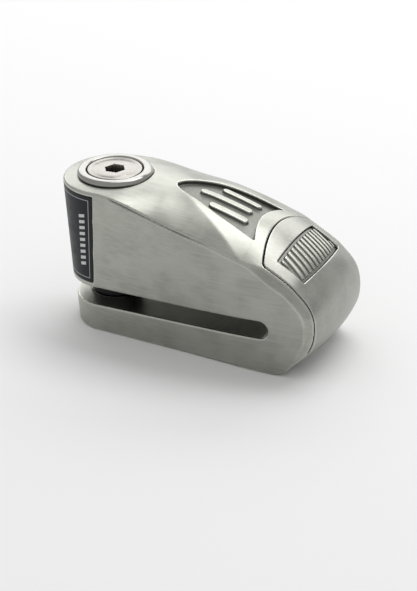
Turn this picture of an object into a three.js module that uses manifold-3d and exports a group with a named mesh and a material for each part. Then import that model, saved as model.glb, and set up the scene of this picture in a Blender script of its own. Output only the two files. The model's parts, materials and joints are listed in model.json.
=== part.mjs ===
// Disc brake lock with alarm: raked body, pinched jaw, key barrel with bolt, nose cap.
// Millimetres. +X towards the nose, +Z up, the flat underside on z = 0.
// Everything is drawn in the mechanism frame: origin on the bolt axis, at the jaw's top face.
import * as THREE from 'three';
import { mergeVertices } from 'three/addons/utils/BufferGeometryUtils.js';
import Module from 'manifold-3d';

const wasm = await Module();
wasm.setup();

// ---- driving dimensions -------------------------------------------------------------------
const RAKE = THREE.MathUtils.degToRad(2.77);
const JAW = 10.33;
const RIM = 44.45;
const SLOT = { height: 6.85, end: 66.2 };
const REAR = { radius: 19, heel: 0.078, jaw: 0.9 };
const SIDE = { cap: 21.5, seat: 21.8 };
const CORNER = 3.2;
const ARCH = { apex: 63.2, bow: 0.0075 };
const CAP = { wall: 2.6, gasket: [2.85, 3.45], seat: 3.75, foot: -8 };
const POCKET = { depth: 1.8, rib: 0.5 };
const LABEL = { low: 8.7, high: 43.2, lowFront: -2.1, highFront: -1.0, skin: 0.3 };
const BORE = { barrel: 12.15, neck: 10.1, floor: 9.6, collar: 14.3, step: 45.5 };
const BARREL = { radius: 11.95, low: 23.2, high: 43.4, core: 8.4 };
const BOLT = { radius: 7, tip: -7.2, sleeve: 9.75 };
const DISC = { count: 6, thick: 1.3, spacer: 0.5, gap: 0.06, radius: 6.9, first: 31.3 };
const PLUNGER = { z: 38.6, radius: 1.0 };
const PIN = { z: 39.5, radius: 1.4 };
const SPRING = { radius: 10.95, wire: 0.7, turns: 5 };
const CAP_SCREW = { x: 75.2, y: 12.4, head: -8.3 };
const PLATE = { x: 76.35, z: 26.05, tilt: 38.7, length: 13.9, half: 16.6, recess: 1.6 };
const DOG = { z: 27.2, radius: 1.4, inner: 5.75, outer: 11.8, stroke: 1.6, lift: 14.5 };

// ---- materials ----------------------------------------------------------------------------
const steel = new THREE.MeshStandardMaterial({ color: 0xb4b2ab, metalness: 1, roughness: 0.36 });
const capSteel = new THREE.MeshStandardMaterial({ color: 0xa9a8a2, metalness: 1, roughness: 0.4 });
const polished = new THREE.MeshStandardMaterial({ color: 0xd2cfc8, metalness: 1, roughness: 0.14 });
const satin = new THREE.MeshStandardMaterial({ color: 0xc2b9ac, metalness: 1, roughness: 0.3 });
const black = new THREE.MeshStandardMaterial({ color: 0x16181a, metalness: 0, roughness: 0.45 });
const rubber = new THREE.MeshStandardMaterial({ color: 0x1b1b1c, metalness: 0, roughness: 0.8 });
const decal = new THREE.MeshStandardMaterial({ color: 0x1d2226, metalness: 0, roughness: 0.35 });
const brass = new THREE.MeshStandardMaterial({ color: 0xb8964f, metalness: 1, roughness: 0.35 });
const board = new THREE.MeshStandardMaterial({ color: 0x1f5a35, metalness: 0, roughness: 0.5 });
const shell = new THREE.MeshStandardMaterial({ color: 0x3a3d40, metalness: 0, roughness: 0.5 });
const cellSkin = new THREE.MeshStandardMaterial({ color: 0x33507a, metalness: 0, roughness: 0.4 });

// ---- small maths --------------------------------------------------------------------------
const lerp = (a, b, t) => a + (b - a) * t;
const smooth = (a, b, v) => THREE.MathUtils.smoothstep(v, a, b);
const softRamp = (v, b) => b * Math.log1p(Math.exp(v / b));

// ---- solids: three.js geometry to closed manifold bodies and back --------------------------
function solid(geometry) {
  const g = geometry.clone();
  g.deleteAttribute('normal');
  g.deleteAttribute('uv');
  const m = mergeVertices(g, 1e-5);
  const mesh = new wasm.Mesh({
    numProp: 3,
    vertProperties: new Float32Array(m.attributes.position.array),
    triVerts: new Uint32Array(m.index.array),
  });
  return new wasm.Manifold(mesh);
}

function geometryOf(body) {
  const m = body.getMesh();
  const g = new THREE.BufferGeometry();
  const points = new Float32Array(m.numVert * 3);
  for (let i = 0; i < m.numVert; i += 1) {
    points.set(m.vertProperties.subarray(i * m.numProp, i * m.numProp + 3), i * 3);
  }
  g.setAttribute('position', new THREE.BufferAttribute(points, 3));
  g.setIndex(new THREE.BufferAttribute(new Uint32Array(m.triVerts), 1));
  g.computeVertexNormals();
  return g;
}

function shapeOf(points) {
  const s = new THREE.Shape();
  s.moveTo(points[0][0], points[0][1]);
  points.slice(1).forEach(([a, b]) => s.lineTo(a, b));
  s.closePath();
  return s;
}

// Prism over an outline [x, y] from z0 to z1.
function prismZ(points, z0, z1) {
  const g = new THREE.ExtrudeGeometry(shapeOf(points), { depth: z1 - z0, bevelEnabled: false });
  g.translate(0, 0, z0);
  return solid(g);
}

// Prism over an outline [x, z] from y0 to y1.
function prismY(points, y0, y1) {
  const g = new THREE.ExtrudeGeometry(shapeOf(points), { depth: y1 - y0, bevelEnabled: false });
  g.rotateX(Math.PI / 2);
  g.translate(0, y1, 0);
  return solid(g);
}

function box(x0, x1, y0, y1, z0, z1) {
  const g = new THREE.BoxGeometry(x1 - x0, y1 - y0, z1 - z0);
  g.translate((x0 + x1) / 2, (y0 + y1) / 2, (z0 + z1) / 2);
  return solid(g);
}

function cylinder(axis, radius, from, to, at = [0, 0, 0], segments = 32) {
  const g = new THREE.CylinderGeometry(radius, radius, to - from, segments);
  g.translate(0, (from + to) / 2, 0);
  if (axis === 'z') g.rotateX(Math.PI / 2);
  if (axis === 'x') g.rotateZ(-Math.PI / 2);
  g.translate(at[0], at[1], at[2]);
  return solid(g);
}

// Turned body from a closed profile of [radius, z].
function turned(profile, segments = 36) {
  const outline = profile.map(([r, z]) => new THREE.Vector2(r, z));
  outline.push(outline[0].clone());
  const g = new THREE.LatheGeometry(outline, segments);
  g.rotateX(Math.PI / 2);
  const body = solid(g);
  return body.volume() < 0 ? flipped(g) : body;
}

function flipped(geometry) {
  const index = geometry.index.array;
  for (let i = 0; i < index.length; i += 3) {
    const keep = index[i + 1];
    index[i + 1] = index[i + 2];
    index[i + 2] = keep;
  }
  return solid(geometry);
}

// Closed loft through rings of equal length; each end is capped in its own plane (two axis indices).
function loft(rings, plane) {
  const n = rings[0].length;
  const last = (rings.length - 1) * n;
  const index = [];
  for (let r = 0; r < rings.length - 1; r += 1) {
    for (let i = 0; i < n; i += 1) {
      const a = r * n + i;
      const b = r * n + ((i + 1) % n);
      index.push(a, b, a + n, b, b + n, a + n);
    }
  }
  const ring2 = (ring) => ring.map((p) => new THREE.Vector2(p[plane[0]], p[plane[1]]));
  const turn = THREE.ShapeUtils.isClockWise(ring2(rings[0]));
  THREE.ShapeUtils.triangulateShape(ring2(rings[0]), []).forEach(([a, b, c]) => {
    index.push(...(turn ? [a, b, c] : [a, c, b]));
  });
  THREE.ShapeUtils.triangulateShape(ring2(rings[rings.length - 1]), []).forEach(([a, b, c]) => {
    index.push(...(turn ? [last + a, last + c, last + b] : [last + a, last + b, last + c]));
  });
  const g = new THREE.BufferGeometry();
  g.setAttribute('position', new THREE.Float32BufferAttribute(rings.flat(2), 3));
  g.setIndex(index);
  const body = solid(g);
  return body.volume() < 0 ? flipped(g) : body;
}

// ---- outer form ---------------------------------------------------------------------------
const under = (x) => -JAW - x * Math.tan(RAKE);

// Centre-line profile [x, z] over the crowned top, the nose and the chin to the underside.
const OVER = [
  [-22, 44.0], [-19, 44.65], [-14, 45.45], [-8, 46.1], [0, 46.4], [8, 46.4], [15, 46.1], [22, 45.65],
  [30, 45.1], [38, 43.8], [46, 41.5], [52, 39.5], [58, 37.2], [64, 34.7], [70, 31.5], [76, 27.9],
  [79.8, 25.1], [81.8, 23.0], [84, 20.2], [86.4, 16.4], [88.3, 11.5], [88.9, 7], [88.7, 3], [87.9, -0.6],
  [86, -4.2], [82, -8], [76, -11.9], [70, under(70)],
];

function profileCurve() {
  const points = OVER.map(([x, z]) => new THREE.Vector3(x, 0, z));
  const curve = new THREE.CatmullRomCurve3(points, false, 'centripetal');
  const middle = curve.getPoints(34).map((p) => [p.x, Math.max(p.z, under(p.x))]);
  return [[-30, 41.5], ...middle, [-30, under(-30)]];
}

const PROFILE = profileCurve();

// Profile moved inwards, by an amount that may vary along it.
function insetProfile(amount) {
  const n = PROFILE.length;
  return PROFILE.map(([x, z], i) => {
    const before = PROFILE[Math.max(i - 1, 0)];
    const after = PROFILE[Math.min(i + 1, n - 1)];
    const dx = after[0] - before[0];
    const dz = after[1] - before[1];
    const length = Math.hypot(dx, dz);
    const step = amount(x);
    if (i === 0) return [x, z - step];
    if (i === n - 1) return [x, z + step];
    return [x + (dz / length) * step, z - (dx / length) * step];
  });
}

// Crown: how far the skin falls away from the centre line at a distance y.
function crowned([x, z], y) {
  const top = 0.0047 + 0.0073 * smooth(2, 30, x) - 0.003 * smooth(52, 78, x);
  const fall = top * smooth(4, 26, z) * (1 - 0.6 * smooth(80, 90, x)) * y * y;
  const back = 0.0042 * smooth(60, 84, x) * y * y;
  return [x - back, y, Math.max(z - fall, under(x - back))];
}

// The soft corner between the side face and the nose, beyond the cap's seam.
function cornerInset(y) {
  const out = Math.max(Math.abs(y) - SIDE.seat, 0) / CORNER;
  return (x) => CORNER * Math.min(out * out, 1.6) * smooth(54, 70, x);
}

function swept(half, inset) {
  const stations = [...half.map((y) => -y).reverse(), 0, ...half];
  return loft(stations.map((y) => insetProfile(inset(y)).map((p) => crowned(p, y))), [0, 2]);
}

// The outer surface, and the same surface moved inwards by a wall thickness.
const outerSkin = () => swept([8, 16, SIDE.seat, 23.8, 25, 27.5], cornerInset);
const innerSkin = (wall) => swept([8, 16, 23], () => () => wall);

const halfAtCrease = (x) => 25 - 0.155 * softRamp(39 - x, 5);
const halfAtSlot = (x) => 24.2 - 0.105 * softRamp(61 - x, 5);

function halfWidth(x, z) {
  const crease = 45.4 - 0.243 * x;
  const t = THREE.MathUtils.clamp((z + 2) / (crease + 2), -0.25, 1.15);
  return lerp(halfAtSlot(x), halfAtCrease(x), t);
}

// Plan outline at one height, pulled in by a skin thickness.
function planRing(z, pull, round) {
  const setBack = REAR.jaw * (1 - smooth(0.5, 6.5, z));
  const rx = REAR.radius - REAR.heel * (RIM - z) - setBack - pull;
  const ry = halfWidth(0, z) - pull;
  const stops = [10, 20, 30, 38, 46, 58, 70, 100];
  const ring = [];
  for (let i = 0; i <= round; i += 1) {
    const a = Math.PI / 2 + (Math.PI * i) / round;
    ring.push([rx * Math.cos(a), ry * Math.sin(a), z]);
  }
  stops.forEach((x) => ring.push([x, pull - halfWidth(x, z), z]));
  [...stops].reverse().forEach((x) => ring.push([x, halfWidth(x, z) - pull, z]));
  return ring;
}

function planBody(pull, round = 24) {
  return loft([-20, 0.5, 6.5, 18, 34, 48].map((z) => planRing(z, pull, round)), [0, 1]);
}

// ---- cutters ------------------------------------------------------------------------------
function slotCutter() {
  const h = SLOT.height;
  const flat = prismY([[-40, 0], [SLOT.end, 0], [SLOT.end, h], [-40, h]], -40, 40);
  return flat.add(cylinder('y', h / 2, -40, 40, [SLOT.end, 0, h / 2], 24));
}

// Space in front of the cap's bowed rear edge and between its straight sides.
function capSpace(side, shift, foot) {
  const rear = [-1, -0.8, -0.6, -0.4, -0.2, 0, 0.2, 0.4, 0.6, 0.8, 1].map((t) => {
    const y = t * side;
    return [ARCH.apex + shift + ARCH.bow * y * y, y];
  });
  return prismZ([...rear, [110, side], [110, -side]], foot, 60);
}

function cavityCutter() {
  const outline = [
    [27, 9.6], [71.6, 9.6], [71.6, -5], [95, -5], [95, 24], [70, 24], [62, 28], [50, 33], [27, 34.5],
  ];
  return prismY(outline, -16, 16).add(box(24.5, 34.5, -4.5, 4.5, 34, 40.9));
}

// Leaf-shaped recess in the top, its front edge following the cap's bow.
function pocketOutline() {
  const half = [
    [25, 0], [27, 2.9], [30, 5.2], [35, 7.5], [40, 9.4], [45, 11], [50, 12.1], [55, 13],
    [60.2, 13.8], [58.6, 8], [57.9, 4], [57.7, 0],
  ];
  const mirrored = half.slice(1, -1).reverse().map(([x, y]) => [x, -y]);
  return [...half, ...mirrored];
}

// Straight raised ribs left standing in the recess: centre, start, end.
const POCKET_RIBS = [[-6.4, 40, 55], [0, 34, 54], [6.4, 40, 55]];

function pocketCutter() {
  const tops = innerSkin(POCKET.rib);
  const space = prismZ(pocketOutline(), 20, 60).subtract(innerSkin(POCKET.depth));
  return POCKET_RIBS.reduce(
    (cut, [y, x0, x1]) => cut.subtract(box(x0, x1, y - 1.5, y + 1.5, 20, 60).intersect(tops)),
    space,
  );
}

function boreCutter() {
  const { barrel, neck, floor, collar, step } = BORE;
  return turned([
    [0, RIM + 6], [collar, RIM + 6], [collar, step], [barrel, step], [barrel, floor], [neck, floor],
    [neck, 8.6], [11.6, 8.6],
    [11.6, 7.4], [neck, 7.4], [neck, -0.1], [9.2, -0.1], [9.2, -8.8], [0, -8.8],
  ]);
}

function labelBand(inner, pull, margin) {
  const { low, high, lowFront, highFront } = LABEL;
  const zone = prismY([
    [-40, low - margin], [lowFront + margin, low - margin], [highFront + margin, high + margin],
    [-40, high + margin],
  ], -40, 40);
  return planBody(pull).subtract(planBody(inner)).intersect(zone);
}

function screwCutter(side) {
  const at = [CAP_SCREW.x, CAP_SCREW.y * side, 0];
  return cylinder('z', 1.7, -20, 2, at, 20).add(cylinder('z', 3.1, -20, CAP_SCREW.head + 0.3, at, 24));
}

// Cross hole that takes both dogs: one holds the button down, one holds it up.
function dogPocket(z) {
  const reach = DOG.outer + DOG.stroke + 0.5;
  return cylinder('y', DOG.radius + 0.25, -reach, reach, [0, 0, z], 20);
}

function makeBody() {
  return outerSkin()
    .intersect(planBody(0))
    .subtract(slotCutter())
    .subtract(capSpace(SIDE.seat, 0, CAP.foot - 0.3).subtract(innerSkin(CAP.seat)))
    .subtract(cavityCutter())
    .subtract(pocketCutter())
    .subtract(boreCutter())
    .subtract(cylinder('x', 1.25, 10, 28, [0, 0, PLUNGER.z], 16))
    .subtract(cylinder('x', 1.5, -30, -5, [0, 0, PIN.z], 16))
    .subtract(dogPocket(DOG.z))
    .subtract(dogPocket(DOG.z + DOG.lift))
    .subtract(labelBand(LABEL.skin + 0.1, -1, 0.15))
    .subtract(screwCutter(1))
    .subtract(screwCutter(-1));
}

// ---- nose cap and its fittings --------------------------------------------------------------
// Frame lying on the cap's sloping face: x down the slope, y across, z outwards.
function onSlope(body) {
  return body.rotate([0, PLATE.tilt, 0]).translate([PLATE.x, 0, PLATE.z]);
}

function plateOutline(trim) {
  const a = PLATE.length / 2 - trim;
  const b = PLATE.half - trim;
  const across = [-1, -0.66, -0.33, 0, 0.33, 0.66, 1];
  const bottom = across.map((t) => [a - 0.6 * t * t, b * t]);
  const top = [...across].reverse().map((t) => [1.0 * t * t - a, b * t]);
  return [...bottom, ...top];
}

function slopeRibs() {
  const ribs = [];
  for (let i = -5; i <= 5; i += 1) {
    const rib = box(-5.4, 5.6, -0.75, 0.75, -12, 8).rotate([0, 0, -14]);
    ribs.push(onSlope(rib.translate([0, i * 2.7, 0])));
  }
  return ribs.reduce((sum, rib) => sum.add(rib));
}

function capPost(side) {
  const at = [CAP_SCREW.x, CAP_SCREW.y * side, 0];
  return cylinder('z', 2.9, -4.7, 40, at, 24).intersect(innerSkin(CAP.wall - 0.4));
}

function capTapping(side) {
  return cylinder('z', 1.55, -14, 6.5, [CAP_SCREW.x, CAP_SCREW.y * side, 0], 20);
}

function makeCap() {
  const wall = capSpace(SIDE.cap, 0.3, CAP.foot).intersect(outerSkin()).subtract(innerSkin(CAP.wall));
  const recess = onSlope(prismZ(plateOutline(0), -12, 12)).subtract(innerSkin(PLATE.recess));
  const posted = wall.subtract(recess).add(capPost(1)).add(capPost(-1));
  return posted.subtract(capTapping(1)).subtract(capTapping(-1));
}

function makePlate() {
  const floor = onSlope(prismZ(plateOutline(0.15), -12, 12)).intersect(innerSkin(1.0));
  const field = onSlope(prismZ(plateOutline(1.1), -12, 12)).intersect(innerSkin(0.25));
  return slopeRibs().intersect(field).add(floor).subtract(innerSkin(PLATE.recess - 0.1));
}

function makeGasket() {
  const space = capSpace(SIDE.cap - 0.4, 0.8, CAP.foot + 6);
  const window = box(69.5, 110, -16.4, 16.4, -20, 60);
  return space.intersect(innerSkin(CAP.gasket[0])).subtract(innerSkin(CAP.gasket[1])).subtract(window);
}

function makeScrew(side) {
  const at = [CAP_SCREW.x, CAP_SCREW.y * side, 0];
  const top = CAP_SCREW.head;
  const socket = cylinder('z', 1.25, top - 3, top - 1.2, at, 6);
  const head = cylinder('z', 2.8, top - 2.4, top, at, 24).subtract(socket);
  return head.add(cylinder('z', 1.45, top - 0.1, 5.5, at, 20));
}

// ---- lock mechanism -------------------------------------------------------------------------
function makeBarrel() {
  const { radius, low, high, core } = BARREL;
  const tube = turned([
    [3.2, low], [radius, low], [radius, high], [core, high],
    [core, 29.3], [7.7, 29.3], [7.7, 25.2], [3.2, 25.2],
  ]);
  const keyway = box(-20, -10.25, -1.65, 1.65, low + 0.2, 41.2);
  const ramp = prismY([[10.83, low - 1], [20, low - 1], [20, 39.6], [radius, 39.6]], -1.3, 1.3);
  return tube
    .subtract(keyway)
    .subtract(ramp)
    .subtract(cylinder('y', DOG.radius + 0.1, -14, 14, [0, 0, DOG.z], 20));
}

function makeRing() {
  return turned([
    [10.35, 43.65], [11.9, 43.65], [11.9, 45.85], [13.7, 45.85], [13.9, 46.5], [13.7, 46.95], [13.1, 47.3],
    [12.2, 47.5], [11.2, 47.5], [10.55, 47.35], [10.35, 47.1],
  ], 48);
}

function hexPrism(acrossCorners, z0, z1) {
  const r = acrossCorners / 2;
  const corners = [0, 1, 2, 3, 4, 5].map((i) => {
    const a = (i * Math.PI) / 3;
    return [r * Math.cos(a), r * Math.sin(a)];
  });
  return prismZ(corners, z0, z1);
}

function makeFace() {
  const disc = turned([[0, 43.65], [10.1, 43.65], [10.1, 47.0], [9.8, 47.3], [0, 47.3]], 48);
  return disc.subtract(hexPrism(7.8, 40, 50));
}

function makeCarrier() {
  return turned([[0, 29.5], [8.2, 29.5], [8.2, 43.4], [7.15, 43.4], [7.15, 31], [0, 31]]);
}

const stackZ = (i) => DISC.first + i * (DISC.thick + DISC.spacer + 2 * DISC.gap);

function makeDisc(i) {
  const z = stackZ(i);
  const disc = cylinder('z', DISC.radius, z, z + DISC.thick, [0, 0, 0], 36);
  const notch = box(-1, 1, 5.8, 9, 20, 50).rotate([0, 0, 15 * ((i * 2) % 5)]);
  return disc.subtract(hexPrism(8.0, 20, 50)).subtract(notch);
}

function makeSpacer(i) {
  const z = stackZ(i) + DISC.thick + DISC.gap;
  return cylinder('z', DISC.radius, z, z + DISC.spacer, [0, 0, 0], 36).subtract(hexPrism(9.2, 20, 50));
}

// Two-lobed cam whose radius falls evenly over a quarter turn from each lobe. The lobes lie along
// x while the dogs are drawn in, and a quarter turn brings them behind the dogs.
function makeCam() {
  const outline = [];
  for (let i = 0; i < 48; i += 1) {
    const a = (i * Math.PI * 2) / 48;
    const fromLobe = Math.asin(Math.abs(Math.sin(a))) / (Math.PI / 2);
    const r = DOG.inner - 0.2 + DOG.stroke * (1 - fromLobe);
    outline.push([r * Math.cos(a), r * Math.sin(a)]);
  }
  return prismZ(outline, 25.5, 28.9);
}

function makeDog(side) {
  const { radius, inner, outer, z } = DOG;
  const [a, b] = side > 0 ? [inner, outer] : [-outer, -inner];
  return cylinder('y', radius, a, b, [0, 0, z], 20);
}

function makeBolt() {
  const { radius, tip } = BOLT;
  return turned([[0, tip], [5.8, tip], [radius, tip + 1.2], [radius, 23], [0, 23]]);
}

function makeSleeve() {
  return turned([[7.15, 0.3], [9.3, 0.3], [BOLT.sleeve, 0.75], [BOLT.sleeve, 22.9], [7.15, 22.9]]);
}

// Helical return spring round the sleeve.
class Helix extends THREE.Curve {
  constructor(radius, turns, z0, z1) {
    super();
    Object.assign(this, { radius, turns, z0, z1 });
  }

  getPoint(t, target = new THREE.Vector3()) {
    const a = 2 * Math.PI * this.turns * t;
    return target.set(this.radius * Math.cos(a), this.radius * Math.sin(a), lerp(this.z0, this.z1, t));
  }
}

function makeSpring() {
  const { wire, turns, radius } = SPRING;
  const path = new Helix(radius, turns, BORE.floor + wire + 0.2, BARREL.low - wire - 0.2);
  const section = new THREE.Shape();
  section.absarc(0, 0, wire, 0, Math.PI * 2, false);
  const options = { steps: turns * 14, extrudePath: path, curveSegments: 3, bevelEnabled: false };
  return solid(new THREE.ExtrudeGeometry(section, options));
}

// ---- alarm module ---------------------------------------------------------------------------
function makeTray() {
  const base = box(28, 71, -15.4, 15.4, 10.0, 11.2);
  const ahead = prismY([[29.4, 11], [35, 11], [32, 12.6], [30.6, 16], [29.4, 16]], -11, 11);
  const behind = prismY([[47.4, 11], [47.4, 16], [46.2, 16], [44.8, 12.6], [41.8, 11]], -11, 11);
  const legs = [[29.2, 12.8], [29.2, -12.8], [55, 12.8], [55, -12.8]].map(([x, y]) => (
    box(x - 1.3, x + 1.3, y - 1.5, y + 1.5, 11, 27.4)
  ));
  return legs.reduce((sum, leg) => sum.add(leg), base.add(ahead).add(behind))
    .subtract(cylinder('z', 1.2, 5, 20, [68.6, 12.6, 0], 16))
    .subtract(cylinder('z', 1.2, 5, 20, [68.6, -12.6, 0], 16));
}

function makeSounder() {
  return turned([[1.2, 12.4], [7.6, 12.4], [7.6, 17], [6.6, 17.6], [1.2, 17.6]], 32).translate([60.5, 0, 0]);
}

function makeBattery() {
  const at = [38.4, 0, 19.2];
  return cylinder('y', 7.7, -13.2, 13.2, at, 32).add(cylinder('y', 2.6, -13.9, 13.9, at, 20));
}

function makeContact(side) {
  const [a, b] = side > 0 ? [14.2, 14.8] : [-14.8, -14.2];
  return box(33.5, 42.5, a, b, 11.5, 26.6);
}

function makeTrayScrew(side) {
  const at = [68.6, 12.6 * side, 0];
  return cylinder('z', 1.05, 9.9, 11.4, at, 16).add(cylinder('z', 2.0, 11.4, 12.6, at, 16));
}

function makePlunger() {
  const { radius, z } = PLUNGER;
  const pin = turned([[0, 0], [0.45, 0.12], [0.85, 0.5], [radius, 1], [radius, 15.2], [0, 15.2]], 20);
  return pin.rotate([0, 90, 0]).translate([11.98, 0, z]);
}

// ---- assembly -------------------------------------------------------------------------------
const raked = new THREE.Group();
raked.name = 'raked_frame';
raked.rotation.y = -RAKE;

function put(name, body, material) {
  const mesh = new THREE.Mesh(geometryOf(body), material);
  mesh.name = name;
  raked.add(mesh);
}

put('body', makeBody(), steel);
put('nose_cap', makeCap(), capSteel);
put('cap_plate', makePlate(), steel);
put('cap_gasket', makeGasket(), rubber);
put('cap_screw_left', makeScrew(1), polished);
put('cap_screw_right', makeScrew(-1), polished);
put('label', labelBand(LABEL.skin, 0.02, 0), decal);
put('guide_pin', cylinder('x', PIN.radius, -18, -10.6, [0, 0, PIN.z], 20), polished);
put('jaw_bush', turned([[7.15, -8.5], [9, -8.5], [9, -0.25], [7.4, -0.25], [7.15, -0.5]]), polished);
put('neck_seal', turned([[9.85, 7.5], [11.5, 7.5], [11.5, 8.5], [9.85, 8.5]]), rubber);
put('return_spring', makeSpring(), polished);
put('bolt', makeBolt(), polished);
put('bolt_sleeve', makeSleeve(), black);
put('bolt_screw', turned([[0, 23.25], [2.9, 23.25], [2.9, 25], [0, 25]], 20), polished);
put('barrel', makeBarrel(), brass);
put('button_ring', makeRing(), polished);
put('locking_dog_left', makeDog(1), polished);
put('locking_dog_right', makeDog(-1), polished);
put('cam', makeCam(), brass);
put('disc_carrier', makeCarrier(), brass);
for (let i = 0; i < DISC.count; i += 1) put(`detainer_disc_${i + 1}`, makeDisc(i), brass);
for (let i = 0; i < DISC.count - 1; i += 1) put(`disc_spacer_${i + 1}`, makeSpacer(i), polished);
put('dust_shutter', cylinder('z', DISC.radius, 42.6, 43.3, [0, 0, 0], 36), black);
put('key_face', makeFace(), satin);
put('alarm_tray', makeTray(), shell);
put('alarm_board', box(28.2, 57, -14.6, 14.6, 27.7, 29.3), board);
put('sounder', makeSounder(), black);
put('battery', makeBattery(), cellSkin);
put('battery_contact_left', makeContact(1), polished);
put('battery_contact_right', makeContact(-1), polished);
put('motion_sensor', cylinder('z', 2.9, 21.5, 27.4, [51, 0, 0], 24), polished);
put('arming_switch', box(27.6, 34, -3.2, 3.2, 29.6, 40.6), black);
put('arming_plunger', makePlunger(), polished);
put('tray_screw_left', makeTrayScrew(1), polished);
put('tray_screw_right', makeTrayScrew(-1), polished);

const part = new THREE.Group();
part.name = 'disc_brake_lock';
part.add(raked);
part.updateMatrixWorld(true);
const reach = new THREE.Box3().setFromObject(part, true);
raked.position.set(-(reach.min.x + reach.max.x) / 2, 0, -reach.min.z);

export default part;
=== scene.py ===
"""Disc brake lock with alarm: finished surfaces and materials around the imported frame.

Lengths in the modelling functions are millimetres in the mechanism frame: the origin is on the
bolt axis at the jaw's top face, x runs towards the nose and z along the bolt.
"""
import json
import math

import bmesh
import bpy
import numpy as np
from mathutils import Matrix, Vector


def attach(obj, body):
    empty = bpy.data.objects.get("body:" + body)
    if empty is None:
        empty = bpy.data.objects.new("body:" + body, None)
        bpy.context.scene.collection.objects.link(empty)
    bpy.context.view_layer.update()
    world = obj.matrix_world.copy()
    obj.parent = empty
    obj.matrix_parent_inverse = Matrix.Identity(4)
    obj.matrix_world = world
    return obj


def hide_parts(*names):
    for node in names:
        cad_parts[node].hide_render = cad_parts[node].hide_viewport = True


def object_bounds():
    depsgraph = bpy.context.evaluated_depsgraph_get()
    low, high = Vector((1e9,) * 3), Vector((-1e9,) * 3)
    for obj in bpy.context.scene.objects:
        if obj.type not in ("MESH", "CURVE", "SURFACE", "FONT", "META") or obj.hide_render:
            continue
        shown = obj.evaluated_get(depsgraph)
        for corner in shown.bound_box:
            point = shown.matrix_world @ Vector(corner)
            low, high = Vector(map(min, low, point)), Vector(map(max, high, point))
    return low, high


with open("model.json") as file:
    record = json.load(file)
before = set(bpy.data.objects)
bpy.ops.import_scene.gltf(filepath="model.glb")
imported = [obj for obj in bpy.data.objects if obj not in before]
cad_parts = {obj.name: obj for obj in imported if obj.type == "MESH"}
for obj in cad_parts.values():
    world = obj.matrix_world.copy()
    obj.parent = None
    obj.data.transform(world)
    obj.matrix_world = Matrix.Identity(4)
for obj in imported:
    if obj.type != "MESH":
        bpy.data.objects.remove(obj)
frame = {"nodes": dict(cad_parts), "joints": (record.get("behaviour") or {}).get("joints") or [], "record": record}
CAD_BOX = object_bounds()

# ---- driving dimensions (mm, degrees) --------------------------------------------------------
RAKE = math.radians(2.77)
JAW = 10.33
RIM = 44.45
SLOT_HEIGHT, SLOT_END = 6.85, 65.8
REAR_RADIUS, REAR_HEEL, REAR_JAW = 19.0, 0.078, 0.9
SIDE_CAP, SIDE_SEAT = 21.4, 21.8
CAP_GAP = 0.4
ARCH_APEX, ARCH_BOW = 63.2, 0.0075
CAP_WALL, CAP_SEAT, CAP_FOOT = 2.6, 3.75, -8.0
POCKET_DEPTH, POCKET_RIB = 1.8, 0.5
CAP_SCREW = {"x": 75.2, "y": 12.4, "radius": 3.1, "head": -8.0}
PLATE = {"x": 76.35, "z": 26.05, "tilt": math.radians(38.7), "length": 13.9, "half": 16.6, "recess": 1.6}
PLATE_RIB = {"lean": math.radians(14), "pitch": 2.7, "half": 0.72, "margin": 1.3}
BORE = {"barrel": 12.15, "floor": 9.6, "collar": 14.3, "step": 45.5, "neck": 10.1, "socket": 9.2}
SOCKET_FLOOR = -8.8
DOG = {"low": 27.2, "high": 41.7, "hole": 1.65, "reach": 13.9}
LABEL_LOW, LABEL_HIGH, LABEL_SINK = 8.7, 43.2, 0.3
LABEL_MIDDLE, LABEL_HALF = (LABEL_LOW + LABEL_HIGH) / 2, (LABEL_HIGH - LABEL_LOW) / 2
CELL = 0.38

# ---- the mechanism frame inside the row frame ------------------------------------------------
KEY = next(j for j in frame["joints"] if j["name"] == "key_turn")
AXIS = -Vector(KEY["axis"]).normalized()
ORIGIN = Vector(KEY["pos_m"]) - AXIS * 0.035
FORWARD = Vector((AXIS.z, 0.0, -AXIS.x))


def to_row(points):
    """Mechanism frame in mm to row frame in m."""
    p = np.asarray(points, float) / 1000.0
    basis = np.array([FORWARD, (0.0, 1.0, 0.0), AXIS])
    return p @ basis + np.array(ORIGIN)


# ---- scalar helpers --------------------------------------------------------------------------
def smooth(a, b, v):
    t = np.clip((v - a) / (b - a), 0.0, 1.0)
    return t * t * (3.0 - 2.0 * t)


def soft_ramp(v, b):
    return b * np.logaddexp(0.0, v / b)


def meet(a, b, r):
    """Common part of two fields, its edge rounded by r."""
    inside = np.minimum(np.maximum(a + r, b + r), 0.0)
    return inside + np.hypot(np.maximum(a + r, 0.0), np.maximum(b + r, 0.0)) - r


def join(a, b, r):
    """Union of two fields, the corner between them filled with radius r."""
    return -meet(-a, -b, r)


def under(x):
    """Height of the lock's flat underside."""
    return -JAW - x * math.tan(RAKE)


# ---- outer form ------------------------------------------------------------------------------
# Centre-line profile (x, z) of the top, the nose and the chin, from the rim to the underside.
OVER = [
    (-40, 39.0), (-22, 44.0), (-19, 44.65), (-14, 45.45), (-8, 46.1), (0, 46.4), (8, 46.4), (15, 46.1),
    (22, 45.65), (30, 45.1), (38, 43.8), (46, 41.5), (52, 39.5), (58, 37.2), (64, 34.7), (70, 31.5),
    (76, 27.9), (79.8, 25.1), (81.8, 23.0), (84, 20.2), (86.4, 16.4), (88.3, 11.5), (88.9, 7),
    (88.7, 3), (87.9, -0.6), (86, -4.2), (82, -8), (76, -11.9), (70, under(70)), (60, under(60)),
    (-40, under(-40)),
]


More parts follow.
